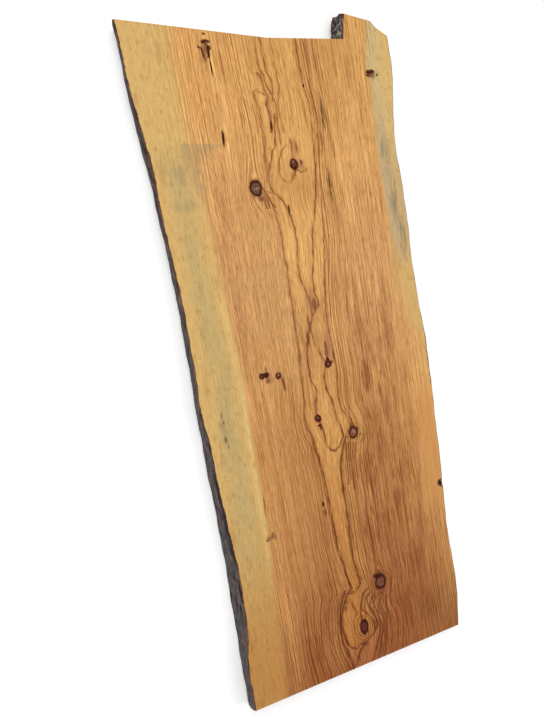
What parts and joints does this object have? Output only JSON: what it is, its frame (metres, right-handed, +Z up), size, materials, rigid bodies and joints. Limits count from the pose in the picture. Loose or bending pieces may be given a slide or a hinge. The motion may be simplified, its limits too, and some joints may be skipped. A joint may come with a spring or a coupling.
{
  "type": "live-edge timber slab",
  "caption": "Wide softwood plank sawn through the heart of a log, with natural bark edges, flat sawn faces, a square foot cut and a stepped butt end.",
  "frame": {"origin": "centre of the slab's underside, on the heart line, midway between the foot cut and the tip of the tongue", "axes": "+Y along the grain towards the wide butt end, +X across the slab towards the edge with the tongue, +Z up out of the best face"},
  "size_m": [0.9415, 2.087, 0.055],
  "materials": {
    "wood": "bare sawn and planed softwood, orange-brown heartwood between pale sapwood edges",
    "bark": "thin dry bark left on the live edges"
  },
  "bodies": {
    "root": {"slab": "wood"}
  },
  "joints": []
}
